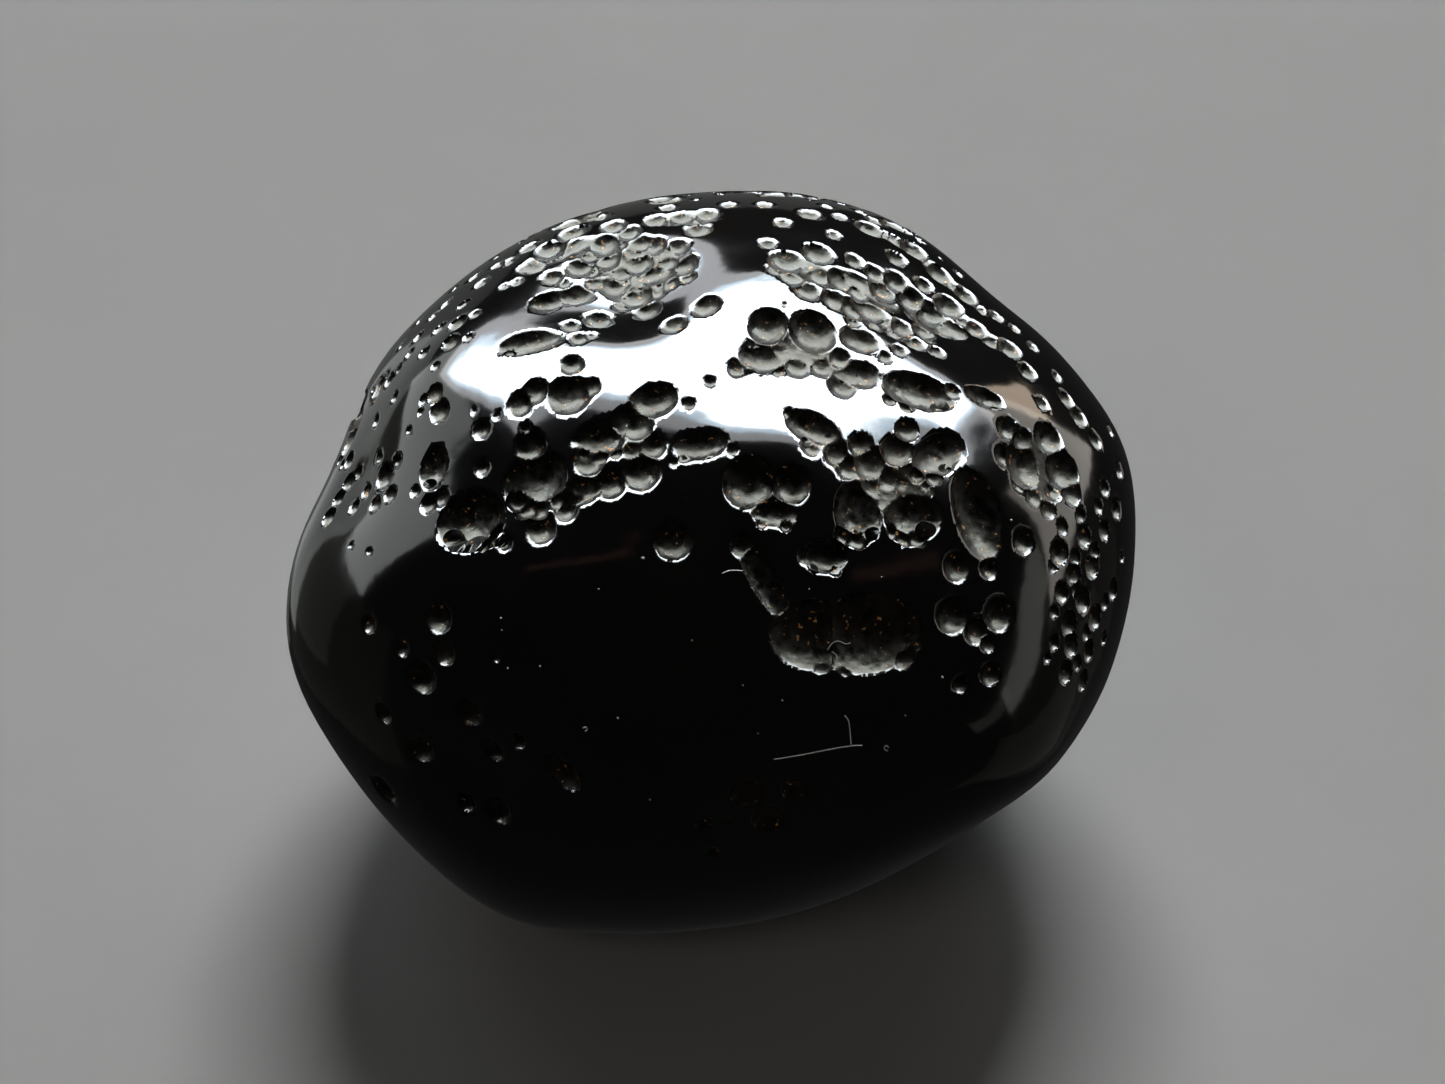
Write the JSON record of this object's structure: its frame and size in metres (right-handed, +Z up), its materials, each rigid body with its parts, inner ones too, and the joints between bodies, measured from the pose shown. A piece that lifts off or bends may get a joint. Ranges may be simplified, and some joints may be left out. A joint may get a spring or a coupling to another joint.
{
  "type": "tumbled tektite",
  "caption": "Tumbled pebble of natural black glass, nearly round, with clusters of round bubble pits between smooth polished lands, and a small flat that it rests on.",
  "frame": {"origin": "bottom centre of the stone's box, in the plane of the flat that it rests on", "axes": "+Z up from the resting flat, +X along the stone's longest side, and -Y towards the pitted face that shows best"},
  "size_m": [0.028, 0.0254, 0.0236],
  "materials": {
    "black_glass": "opaque natural glass, tumble-polished to a high gloss"
  },
  "bodies": {
    "root": {"tektite": "black_glass"}
  },
  "joints": []
}
